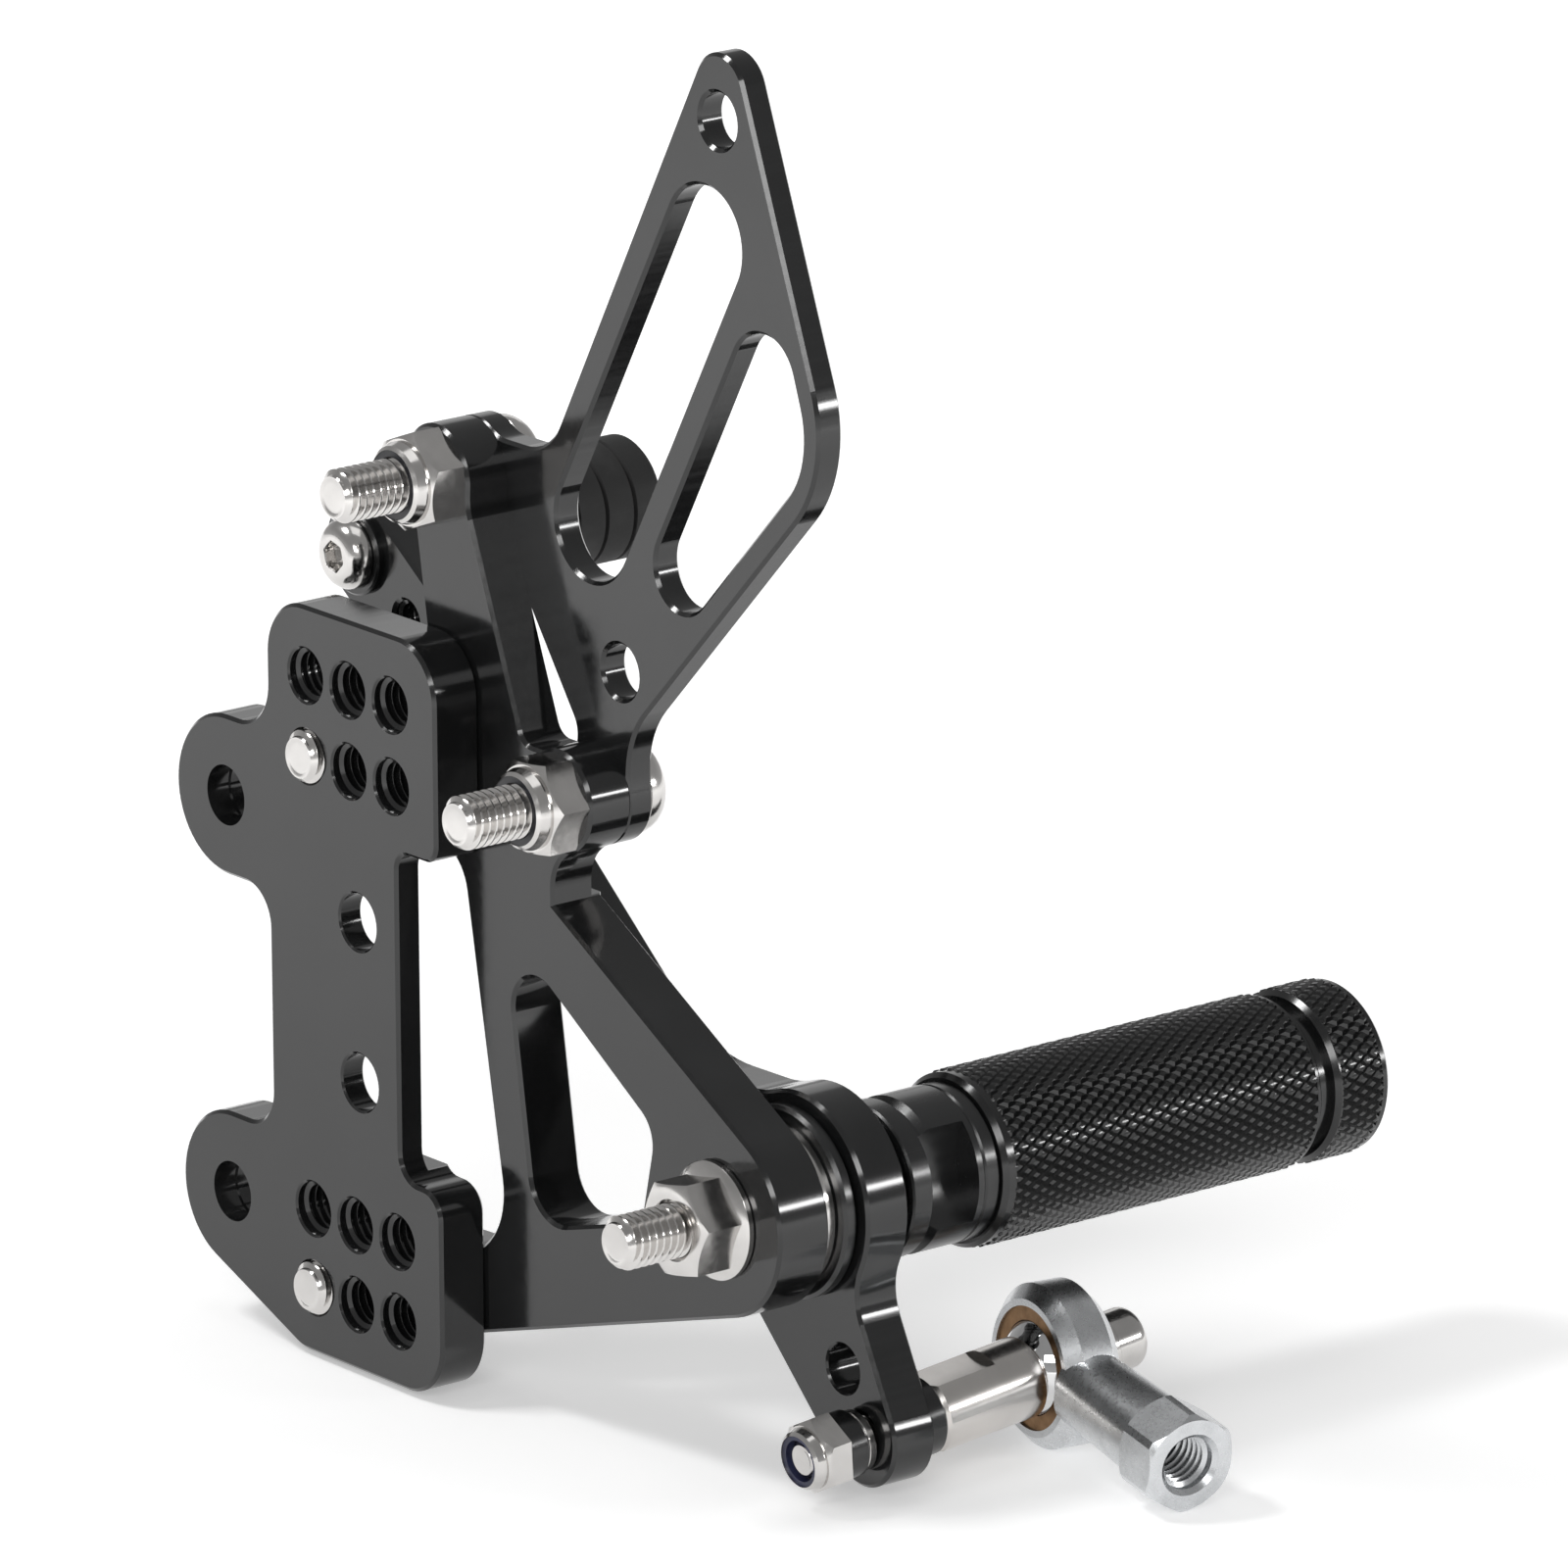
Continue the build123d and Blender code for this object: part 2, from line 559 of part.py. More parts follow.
def link_ring(y0, y1, r, bore):
    """Washer or collar on the linkage bolt."""
    c = break_edge
    return lean * turned(link_x, link_z, [
        (bore, y0), (r - c, y0), (r, y0 + c), (r, y1 - c), (r - c, y1), (bore, y1)])


def link_screw():
    """Cap screw with a flange under its domed head, put in from outboard."""
    far = y_ball + ball_w / 2 + ball_side
    y0 = far + link_flange_t
    y1 = y0 + link_head_h
    r, f, c = link_head_r, link_flange_r, break_edge
    head = turned(link_x, link_z, [
        (0, far), (f - c, far), (f, far + c), (f, y0 - c), (r, y0), (r, y1 - 0.35 * r),
        (0.93 * r, y1 - 0.17 * r), (0.78 * r, y1 - 0.04 * r), (0.6 * r, y1), (0, y1)])
    head -= hexagon(link_x, link_z, y1 - link_head_h / 2, y1 + over, socket_m6, socket_turn)
    return lean * (head + shank(link_x, link_z, y_link_nut - m6_nut - link_tip, far, m6 - thread_play))


def link_standoff():
    far = y_ball + ball_w / 2 + ball_side
    y1 = y_standoff + standoff_len
    spigot = ball_bore_r - run_play
    bore, c = m6 + slip, edge
    body = turned(link_x, link_z, [
        (bore, y_standoff), (standoff_r - c, y_standoff), (standoff_r, y_standoff + c),
        (standoff_r, y1 - c), (standoff_r - c, y1), (spigot, y1), (spigot, far), (bore, far)])
    for side in (1, -1):
        flat = Box(4 * standoff_r, standoff_flat, standoff_r)
        z = link_z + side * (standoff_af + standoff_r) / 2
        body -= Pos(link_x, y_standoff + standoff_flat / 2, z) * flat
    return lean * body


def rod_end():
    """Ball, liner and housing about the ball centre, shank along +X, bolt along Y."""
    ball = Sphere(ball_r) & (Rot(90, 0, 0) * Cylinder(ball_r + over, ball_w))
    ball -= rod(0, 0, -ball_w, ball_w, ball_bore_r)
    h = rod_head_w / 2
    w = h - liner_in
    liner = turned(0, 0, [(liner_bore, -w), (liner_r, -w), (liner_r, w), (liner_bore, w)])
    liner -= Sphere(ball_r + slip)
    c = rod_head_edge
    housing = turned(0, 0, [
        (0, -h), (rod_head_r - c, -h), (rod_head_r, -h + c), (rod_head_r, h - c), (rod_head_r - c, h),
        (0, h)])
    neck = Pos(rod_len / 2, 0, 0) * Rot(0, 90, 0) * Cone(*rod_neck, rod_len)
    end = Rot(0, 90, 0) * extrude(RegularPolygon(rod_hex_af / 2, 6, major_radius=False), rod_hex_len)
    end = Pos(rod_len - rod_hex_len, 0, 0) * end
    spin = Rot(0, 90, 0) * Cylinder(rod_hex_r, rod_hex_len)
    spin = chamfer(spin.edges(), rod_hex_edge)
    end = end & (Pos(rod_len - rod_hex_len / 2, 0, 0) * spin)
    housing += neck + end
    housing -= rod(0, 0, -rod_head_r, rod_head_r, liner_r + press_play)
    thread = Rot(0, 90, 0) * Cylinder(m8, rod_thread_len)
    housing -= Pos(rod_len - rod_thread_len / 2, 0, 0) * thread
    mouth = Rot(0, 90, 0) * Cone(m8, m8 + rod_hex_edge, rod_hex_edge)
    housing -= Pos(rod_len - rod_hex_edge / 2, 0, 0) * mouth
    centre = lean * Pos(link_x, y_ball, link_z)
    turn = Pos(centre.position) * Rot(0, rod_swivel, 0) * Rot(0, 0, -rod_tilt)
    return centre * ball, turn * liner, turn * housing


def washer_ring(y0, y1, r, bore):
    c = break_edge
    return turned(peg_x, peg_z, [
        (bore, y0), (r - c, y0), (r, y0 + c), (r, y1 - c), (r - c, y1), (bore, y1)])


def toe_washer():
    y = y_pedal - toe_washer_t
    r, bore, c = toe_washer_r, m6 + slip, break_edge
    return turned(toe_x, toe_z, [(bore, y), (r - c, y), (r, y + c), (r, y_pedal), (bore, y_pedal)])


def save(name, solids):
    group = solids if isinstance(solids, list) else [solids]
    export_step(Compound(children=[s.solid() for s in group]), os.path.join("parts", name + ".step"))


core, rubber = toe_peg()
ball, liner, housing = rod_end()

save("adapter_plate", adapter_plate())
save("hanger_plate", hanger_plate())
save("adapter_bolts", adapter_bolts())
save("heel_guard", heel_guard())
save("guard_bolts", guard_bolts())
save("guard_nuts", guard_nuts())
save("guard_nut_inserts", guard_inserts())
save("peg_stud", shank(peg_x, peg_z, -stud_out, y_sleeve + stud_in, m8 - thread_play))
save("peg_nut", peg_nut())
save("thrust_washer", washer_ring(y_back, y_washer, washer_r, m8 + slip))
save("pivot_bush", pivot_bush())
save("brake_pedal", pedal())
save("hub_spacer", washer_ring(y_spacer, y_hub, spacer_r, m8 + slip))
save("peg_hub", peg_hub())
save("peg_sleeve", peg_sleeve())
save("peg_cap", peg_cap())
save("toe_screw", toe_screw())
save("toe_washer", toe_washer())
save("toe_core", core)
save("toe_rubber", rubber)
save("link_bolt", link_screw())
save("link_nut", lean * lock_nut(link_x, link_z, y_link_nut, m6_af, m6_nut, m6, link_nut_turn))
save("link_nut_insert", lean * nut_insert(link_x, link_z, y_link_nut, m6_nut, m6))
save("link_collar", link_ring(y_link_nut, y_collar, collar_r, m6 + slip))
save("link_lock_washer", link_ring(y_collar, y_lock, lock_washer_r, m6 + slip))
save("link_washer", link_ring(y_washer_in, y_standoff, link_washer_r, m6 + slip))
save("link_standoff", link_standoff())
save("rod_end_ball", ball)
save("rod_end_liner", liner)
save("rod_end_housing", housing)
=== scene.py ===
import json
import math

import bmesh
import bpy
from mathutils import Matrix, Vector

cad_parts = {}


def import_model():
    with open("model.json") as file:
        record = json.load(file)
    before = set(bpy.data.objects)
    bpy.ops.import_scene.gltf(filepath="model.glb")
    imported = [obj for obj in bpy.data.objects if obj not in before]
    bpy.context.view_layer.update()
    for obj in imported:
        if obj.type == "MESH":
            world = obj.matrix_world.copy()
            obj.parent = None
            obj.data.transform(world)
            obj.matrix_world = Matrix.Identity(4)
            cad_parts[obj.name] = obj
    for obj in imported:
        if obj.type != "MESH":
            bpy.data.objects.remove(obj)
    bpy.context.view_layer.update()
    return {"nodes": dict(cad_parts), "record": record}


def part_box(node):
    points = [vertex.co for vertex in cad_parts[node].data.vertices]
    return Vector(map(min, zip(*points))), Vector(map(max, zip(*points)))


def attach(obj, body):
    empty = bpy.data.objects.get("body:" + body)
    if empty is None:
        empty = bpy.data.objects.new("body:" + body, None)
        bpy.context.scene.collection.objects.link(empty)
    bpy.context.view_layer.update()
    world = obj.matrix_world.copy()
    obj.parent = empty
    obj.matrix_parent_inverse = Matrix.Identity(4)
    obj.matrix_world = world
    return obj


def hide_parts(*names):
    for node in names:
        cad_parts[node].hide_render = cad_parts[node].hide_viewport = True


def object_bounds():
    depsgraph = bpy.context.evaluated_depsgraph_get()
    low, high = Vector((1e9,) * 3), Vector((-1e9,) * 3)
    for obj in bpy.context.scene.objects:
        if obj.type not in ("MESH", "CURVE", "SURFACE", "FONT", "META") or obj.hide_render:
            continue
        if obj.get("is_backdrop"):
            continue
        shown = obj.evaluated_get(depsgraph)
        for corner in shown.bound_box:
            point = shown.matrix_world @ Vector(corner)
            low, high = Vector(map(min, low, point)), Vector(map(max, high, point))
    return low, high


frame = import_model()
nodes = frame["nodes"]

# Places and sizes in millimetres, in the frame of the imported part
MM = 0.001
GUARD_BOLT = ((40.3, 84.6), (67.9, 42.9))
GRID_X = (19.6, 29.6, 39.6)
GRID_TOP, GRID_LOW, GRID_STEP = 52.2, -27.8, 12.0
ADAPTER_BOLT = ((19.6, 40.2), (19.6, -39.8))
PEG = (103.5, -10.0)
TOE = (2.6, 63.0)

# Threads
M8, M8_PITCH = 3.95, 1.25
M6, M6_PITCH = 2.95, 1.0
THREAD_FORM = ((0.0, 1.0), (0.16, 1.0), (0.46, 0.0), (0.62, 0.0))   # place along one pitch, depth
THREAD_DEPTH = 0.6      # in pitches
TIP_BEVEL = 0.75        # in pitches
END_DISH = ((0, 0), (0.3, 0), (0.6, 0.14), (1.0, 0.18))     # step inwards from the edge, lift
END_CENTRE = 0.16
COIL_FORM = ((0.0, 0.0), (0.30, 1.0), (0.46, 1.0), (0.76, 0.0))     # place along one pitch, height
COIL_WIDTH = 0.8        # in pitches
COIL_FADE = 0.3         # in turns
M8_HOLE, M8_CREST, M8_COIL_ROUND = 4.03, 3.35, 40
M6_HOLE, M6_CREST, M6_COIL_ROUND = 3.03, 2.45, 36
PLATE_LEAD_LOW, PLATE_LEAD_HIGH = 0.7, 0.4
ROD_COIL = (-8.2, 7.0)
TOE_COIL = (-3.3, 3.3)

# Heads of the bolts, angles in degrees
ROUND = 60              # sides of a turned shape
M8_HEAD_R, M8_SOCKET = 7.0, 5.0
M6_HEAD_R, M6_SOCKET = 5.25, 4.0
BUTTON_EDGE = 0.16      # share of the height below the dome
BUTTON_TOP = 0.52       # share of the radius that is flat
BUTTON_SOCKET = 0.58    # share of the height
DOME_STEPS = 8
SEAT_BEVEL = 0.2
SOCKET_LIP, SOCKET_BEVEL = 0.15, 0.2
SOCKET_CONE = 0.12      # share of the width across flats
GUARD_THREAD, GUARD_TURNS = 15.0, (10, 34)
ADAPTER_THREAD, ADAPTER_TURNS, ADAPTER_HEAD = 9.0, (15, 41), 4.4
STUD_THREAD, STUD_BEVEL = 18.0, 0.8
TOE_THREAD, TOE_TURN = 12.0, 15
LINK_TIP, LINK_THREAD, LINK_SEAT = -46.3, 15.0, 6.1
LINK_FLANGE = ((4.6, 6.1), (4.9, 6.4), (4.9, 8.2), (4.6, 8.5))      # radius, place along the bolt
LINK_DOME = (12.2, 4.6, 3.0, 14.1)                                  # base, radius, radius on top, top
LINK_SOCKET_DEPTH, LINK_TURN = 2.8, 20

# Flange nut of the peg
PEG_NUT_FLATS, PEG_NUT_TURN = 13.0, 10.0
NUT_PLAY = 0.05
NUT_TOP_IN, NUT_BEVEL, NUT_BORE_BEVEL = 0.3, 30, 0.5
FLANGE_R, FLANGE_RIM, FLANGE_EDGE = 8.6, 1.15, 0.2
FLANGE_SLOPE = 0.4

# Knurled peg
KNURL_ROUND = 46        # diamonds round the peg
KNURL_SLANT = 30.0      # angle of the knurl lines to the peg axis
KNURL_DEPTH = 0.5
KNURL_LAND = 0.42       # share of a diamond that its low dome takes
KNURL_DOME = 0.04
KNURL_SPARE = 4         # rows that the two ends cut off
HEM_DROP = 0.3          # how far the smooth hems lie below the knurl
HEM_BEVEL = 0.7
HEM_LAP = 0.2
SLEEVE_HEMS = (1.8, 1.0)
CAP_HEMS = (0.8, 1.3)
GROOVE_WIDTH, GROOVE_R, GROOVE_ROUND = 2.6, 11.0, 72

# Mesh limits: distances in metres, angles in degrees
WELD = 2e-6
SLIVER = 1e-7
SMOOTH = 35
KNURL_SMOOTH = 30

# Stage, in metres and watts
FLOOR_SIZE = 6.0
FLOOR_WHITE = (0.9, 0.9, 0.9, 1)
FLOOR_GLOW = {"From Min": 0.12, "From Max": 0.6, "To Min": 0.36, "To Max": 0.8}
ROOM_LEVEL = (0.0, (0.45, 0.45, 0.45, 1))
ROOM_ABOVE = (0.4, (0.3, 0.3, 0.3, 1))
MIDDLE = (0.06, 0.05, 0.02)
BACK_TARGET = (0.05, 0.05, 0.05)
LAMPS = (               # name, place, target, power, width, height
    ("key", (-0.24, -0.34, 0.76), MIDDLE, 3.0, 0.2, 0.2),
    ("rim", (1.02, 0.80, 0.255), MIDDLE, 1.8, 0.3, 0.08),
    ("fill", (0.75, -0.75, 0.50), MIDDLE, 3.0, 0.5, 0.3),
    ("top", (0.10, 0.10, 0.90), MIDDLE, 0.7, 0.5, 0.5),
    ("back", (-1.00, 0.85, 0.44), BACK_TARGET, 0.7, 0.9, 0.5),
)
CAMERA_PLACE = (1.6399, -1.2025, 0.6265)
CAMERA_RIGHT = (0.6241, 0.7814, -0.0057)
CAMERA_FORWARD = (-0.7508, 0.5977, -0.2812)
CAMERA_LENS, CAMERA_SENSOR, CAMERA_REACH = 337.2, 36.0, 50.0


def span(node):
    """Lowest and highest Y of a node, in millimetres."""
    low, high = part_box(node)
    return low.y / MM, high.y / MM


# Materials

class Look:
    """A Principled material with a few helpers for its nodes."""

    def __init__(self, name, **sockets):
        self.mat = bpy.data.materials.new(name)
        self.mat.use_nodes = True
        self.tree = self.mat.node_tree
        self.shader = self.tree.nodes["Principled BSDF"]
        self.coords = self.tree.nodes.new("ShaderNodeTexCoord").outputs["Object"]
        for key, value in sockets.items():
            self.shader.inputs[key.replace("_", " ")].default_value = value

    def join(self, a, b):
        self.tree.links.new(a, b)

    def noise(self, scale, stretch=(1, 1, 1), detail=3.0, rough=0.55):
        place = self.tree.nodes.new("ShaderNodeMapping")
        place.inputs["Scale"].default_value = stretch
        self.join(self.coords, place.inputs["Vector"])
        node = self.tree.nodes.new("ShaderNodeTexNoise")
        node.inputs["Scale"].default_value = scale
        node.inputs["Detail"].default_value = detail
        node.inputs["Roughness"].default_value = rough
        self.join(place.outputs["Vector"], node.inputs["Vector"])
        return node.outputs["Fac"]

    def ramp(self, fac, stops):
        node = self.tree.nodes.new("ShaderNodeValToRGB")
        band = node.color_ramp.elements
        while len(band) < len(stops):
            band.new(0.5)
        for element, (at, colour) in zip(band, stops):
            element.position = at
            element.color = (*colour, 1.0)
        self.join(fac, node.inputs["Fac"])
        return node.outputs["Color"]

    def spread(self, fac, low, high):
        """The middle of a noise, 0.3 to 0.7, spread from low to high."""
        node = self.tree.nodes.new("ShaderNodeMapRange")
        node.inputs["From Min"].default_value = 0.3
        node.inputs["From Max"].default_value = 0.7
        node.inputs["To Min"].default_value = low
        node.inputs["To Max"].default_value = high
        self.join(fac, node.inputs["Value"])
        return node.outputs["Result"]

    def colour(self, socket):
        self.join(socket, self.shader.inputs["Base Color"])

    def roughness(self, socket):
        self.join(socket, self.shader.inputs["Roughness"])

    def bump(self, *layers):
        """Stack of bumps, each (height socket, strength, depth in metres)."""
        normal = None
        for height, strength, depth in layers:
            node = self.tree.nodes.new("ShaderNodeBump")
            node.inputs["Strength"].default_value = strength
            node.inputs["Distance"].default_value = depth
            self.join(height, node.inputs["Height"])
            if normal is not None:
                self.join(normal, node.inputs["Normal"])
            normal = node.outputs["Normal"]
        self.join(normal, self.shader.inputs["Normal"])


def grey(v, warm=0.0):
    return (v * (1 + warm), v, v * (1 - warm))


def anodised(name, tone, low, high, grain):
    """Black anodised aluminium: tool marks run along Y on the milled edges."""
    look = Look(name, IOR=1.6)
    cloud = look.noise(60, detail=4)
    marks = look.noise(900, stretch=(1, 0.04, 1), detail=2)
    look.colour(look.ramp(cloud, [(0.3, grey(tone * 0.7, -0.03)), (0.7, grey(tone * 1.3, -0.03))]))
    look.roughness(look.spread(marks, low, high))
    look.bump((marks, grain, 0.00002), (look.noise(2500, detail=1), grain * 0.6, 0.00001))
    return look.mat


def bright(name, tone, warm, low, high, scale, grain, depth, stretch=(1, 1, 1)):
    """Bare or plated metal with a fine uneven surface."""
    look = Look(name, Metallic=1.0)
    cloud = look.noise(scale, stretch, detail=4)
    fine = look.noise(scale * 6, stretch, detail=2)
    look.colour(look.ramp(cloud, [(0.25, grey(tone * 0.84, warm)), (0.75, grey(tone * 1.06, warm))]))
    look.roughness(look.spread(fine, low, high))
    look.bump((cloud, grain, depth), (fine, grain, depth * 0.3))
    return look.mat


def bronze(name):
    """Bronze, a little uneven in tone and polish."""
    look = Look(name, Metallic=1.0)
    cloud = look.noise(500, detail=4)
    look.colour(look.ramp(cloud, [(0.3, (0.20, 0.11, 0.05)), (0.7, (0.34, 0.20, 0.10))]))
    look.roughness(look.spread(cloud, 0.28, 0.42))
    look.bump((cloud, 0.15, 0.00004))
    return look.mat


def rubber(name):
    """Black rubber with light smears and fine pores."""
    look = Look(name, IOR=1.5)
    smear = look.noise(90, stretch=(0.4, 1.0, 1.6), detail=5, rough=0.65)
    pores = look.noise(2600, detail=2)
    look.colour(look.ramp(smear, [(0.3, grey(0.008)), (0.55, grey(0.013)), (0.75, grey(0.030))]))
    look.roughness(look.spread(smear, 0.55, 0.78))
    look.bump((smear, 0.15, 0.0002), (pores, 0.3, 0.00004))
    return look.mat


def nylon(name, dark, light):
    """Slightly translucent nylon between two tones."""
    look = Look(name, IOR=1.53, Subsurface_Weight=0.05)
    cloud = look.noise(300, detail=3)
    look.colour(look.ramp(cloud, [(0.3, dark), (0.7, light)]))
    look.roughness(look.spread(cloud, 0.35, 0.5))
    look.bump((look.noise(2000), 0.1, 0.00003))
    return look.mat


ALUMINIUM = anodised("black_aluminium", tone=0.009, low=0.10, high=0.15, grain=0.06)
PEG_BLACK = anodised("black_peg", tone=0.006, low=0.14, high=0.20, grain=0.05)
TURNED_BLACK = anodised("black_turned", tone=0.009, low=0.20, high=0.28, grain=0.08)
BLACK_STEEL = anodised("black_steel", tone=0.008, low=0.18, high=0.26, grain=0.10)
STAINLESS = bright("stainless", tone=0.66, warm=0.025, low=0.12, high=0.20,
                   scale=120, grain=0.05, depth=0.00003)
TURNED = bright("stainless_turned", tone=0.66, warm=0.04, low=0.20, high=0.23,
                scale=40, grain=0.02, depth=0.00002, stretch=(1, 2, 1))
ZINC = bright("zinc", tone=0.68, warm=-0.02, low=0.26, high=0.31, scale=300, grain=0.05, depth=0.00004)
BALL = bright("ball_steel", tone=0.74, warm=0.0, low=0.04, high=0.08, scale=150, grain=0.02, depth=0.00001)
BRONZE = bronze("bronze")
RUBBER = rubber("rubber")
NYLON_BLUE = nylon("nylon_blue", dark=(0.008, 0.010, 0.035), light=(0.016, 0.020, 0.075))
NYLON_DARK = nylon("nylon_dark", dark=(0.006, 0.006, 0.008), light=(0.013, 0.013, 0.018))

NODE_LOOKS = {
    ALUMINIUM: ("adapter_plate", "hanger_plate", "heel_guard", "brake_pedal"),
    TURNED_BLACK: ("peg_hub", "toe_core"),
    BLACK_STEEL: ("pivot_bush", "hub_spacer", "toe_washer", "link_collar", "link_washer"),
    STAINLESS: ("guard_nuts", "link_nut", "link_lock_washer", "thrust_washer"),
    TURNED: ("link_standoff",),
    ZINC: ("rod_end_housing",),
    BALL: ("rod_end_ball",),
    BRONZE: ("rod_end_liner",),
    RUBBER: ("toe_rubber",),
    NYLON_BLUE: ("link_nut_insert",),
    NYLON_DARK: ("guard_nut_inserts",),
}
for look, names in NODE_LOOKS.items():
    for name in names:
        nodes[name].data.materials.clear()
        nodes[name].data.materials.append(look)


# Mesh helpers: shapes are turned about a line along Y, in millimetres

def line_at(x, z):
    """Matrix of the line along Y at x and z."""
    return Matrix.Scale(MM, 4) @ Matrix.Translation((x, 0, z))


def along(spot):
    """Matrix that lays the Y line on the axis of a mount or joint of the record, its point at zero."""
    turn = Vector((0, 1, 0)).rotation_difference(Vector(spot["axis"])).to_matrix().to_4x4()
    return Matrix.Translation(spot["pos_m"]) @ turn @ Matrix.Scale(MM, 4)


def ring(bm, place, radius, y, count):
    """Ring of vertices; radius may be a function of the angle, and y a function of the radius."""
    found = []
    for i in range(count):
        t = 2 * math.pi * i / count
        r = radius(t) if callable(radius) else radius
        level = y(r) if callable(y) else y
        found.append(bm.verts.new(place @ Vector((r * math.cos(t), level, r * math.sin(t)))))
    return found


def skin(bm, rings):
    """Faces between each ring and the next."""
    for a, b in zip(rings, rings[1:]):
        n = len(a)
        for i in range(n):
            bm.faces.new((a[i], a[(i + 1) % n], b[(i + 1) % n], b[i]))


def disc(bm, place, edge, y):
    """Faces from a ring to a centre at y."""
    centre = bm.verts.new(place @ Vector((0, y, 0)))
    for i, v in enumerate(edge):
        bm.faces.new((v, edge[(i + 1) % len(edge)], centre))


def lathe(bm, place, profile, count, close=(True, True)):
    """Turned shape through (radius, y) points, its ends closed by discs."""
    rings = [ring(bm, place, r, y, count) for r, y in profile]
    skin(bm, rings)
    if close[0]:
        disc(bm, place, rings[0], profile[0][1])
    if close[1]:
        disc(bm, place, rings[-1], profile[-1][1])


def thread(bm, place, y0, y1, r, pitch, tip):
    """Outside thread from its bevelled tip at y0 to y1, every edge along one helix."""
    depth = THREAD_DEPTH * pitch
    form = len(THREAD_FORM)
    rows = form * (int((y1 - y0) / pitch) + 3)
    grid = []
    for k in range(rows + form):
        row = []
        for i in range(ROUND):
            at, drop = THREAD_FORM[k % form]
            y = y0 + (k // form + at + i / ROUND - 1) * pitch
            radius = r - depth * drop
            if y >= y1:
                radius = r
            y = min(max(y, y0), y1)
            radius = min(radius, r - tip + y - y0)
            t = 2 * math.pi * i / ROUND
            row.append(bm.verts.new(place @ Vector((radius * math.cos(t), y, radius * math.sin(t)))))
        grid.append(row)
    for k in range(rows):
        for i in range(ROUND):
            wrap = k if i + 1 < ROUND else k + form
            if wrap + 1 >= len(grid):
                continue
            j = (i + 1) % ROUND
            bm.faces.new((grid[k][i], grid[wrap][j], grid[wrap + 1][j], grid[k + 1][i]))


def coil(bm, place, y0, y1, wall, crest, pitch, count):
    """Ridge of an inside thread: one closed helical strip that grows out of the wall of the hole."""
    steps = int((y1 - y0 - COIL_WIDTH * pitch) / pitch * count)
    run = COIL_FADE * count
    form = len(COIL_FORM)
    last = None
    for s in range(steps + 1):
        t = 2 * math.pi * s / count
        fade = min(1.0, s / run, (steps - s) / run)
        section = []
        for at, share in COIL_FORM:
            r = wall - (wall - crest) * share * fade
            y = y0 + (s / count + at) * pitch
            section.append(bm.verts.new(place @ Vector((r * math.cos(t), y, r * math.sin(t)))))
        if last is not None:
            for i in range(form):
                j = (i + 1) % form
                bm.faces.new((last[i], last[j], section[j], section[i]))
        last = section


def hex_edge(af, turn):
    """Radius of a hexagon by angle."""
    def radius(t):
        a = (t - math.radians(turn)) % (math.pi / 3) - math.pi / 6
        return af / 2 / math.cos(a)
    return radius


def socket_head(bm, place, profile, af, turn, deep):
    """Head turned from its seat to its top, with a hexagon socket; gives the open ring at its seat."""
    rings = [ring(bm, place, r, y, ROUND) for r, y in profile]
    socket = hex_edge(af, turn)
    top = profile[-1][1]
    rings.append(ring(bm, place, lambda t: socket(t) + SOCKET_LIP, top, ROUND))
    rings.append(ring(bm, place, socket, top - SOCKET_BEVEL, ROUND))
    rings.append(ring(bm, place, socket, top - deep, ROUND))
    skin(bm, rings)
    disc(bm, place, rings[-1], top - deep - SOCKET_CONE * af)
    return rings[0]


def dome(base, r, top_r, top):
    """Rounded profile over the shoulder of a head, from its base to its top."""
    profile = []
    for i in range(DOME_STEPS + 1):
        a = math.pi / 2 * i / DOME_STEPS
        profile.append((top_r + (r - top_r) * math.cos(a), base + (top - base) * math.sin(a)))
    return profile


def button_head(bm, place, seat, r, h, af, turn):
    """Button head on its seat, with a small bevel under its edge."""
    edge = [(r - SEAT_BEVEL, seat), (r, seat + SEAT_BEVEL)]
    profile = edge + dome(seat + BUTTON_EDGE * h, r, BUTTON_TOP * r, seat + h)
    return socket_head(bm, place, profile, af, turn, BUTTON_SOCKET * h)


def threaded_end(bm, place, tip_y, r, pitch, threaded):
    """Thread with its flat tip, which has the shallow dish that turning leaves."""
    bevel = TIP_BEVEL * pitch
    thread(bm, place, tip_y, tip_y + threaded, r, pitch, bevel)
    rings = [ring(bm, place, r - bevel - step, tip_y + lift, ROUND) for step, lift in END_DISH]
    skin(bm, rings)
    disc(bm, place, rings[-1], tip_y + END_CENTRE)


def bolt(bm, place, tip_y, seat, r, pitch, threaded, head):
    """Threaded shank from its tip up to the ring that a head leaves open at its seat."""
    threaded_end(bm, place, tip_y, r, pitch, threaded)
    skin(bm, [ring(bm, place, r, tip_y + threaded, ROUND), ring(bm, place, r, seat, ROUND), head])


def piece(name, bm, look, body, slot, *replaced, smooth=SMOOTH):
    bmesh.ops.remove_doubles(bm, verts=bm.verts, dist=WELD)
    bmesh.ops.dissolve_degenerate(bm, edges=bm.edges, dist=SLIVER)
    bmesh.ops.recalc_face_normals(bm, faces=bm.faces)
    mesh = bpy.data.meshes.new(name)
    bm.to_mesh(mesh)
    bm.free()
    mesh.materials.append(look)
    mesh.polygons.foreach_set("use_smooth", [True] * len(mesh.polygons))
    mesh.set_sharp_from_angle(angle=math.radians(smooth))
    obj = bpy.data.objects.new(name, mesh)
    bpy.context.scene.collection.objects.link(obj)
    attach(obj, body)
    if replaced:
        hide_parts(*replaced)


# Bolts with real threads

mounts = {m["name"]: m for m in frame["record"]["mounts"]}
joints = {j["name"]: j for j in frame["record"]["behaviour"]["joints"]}

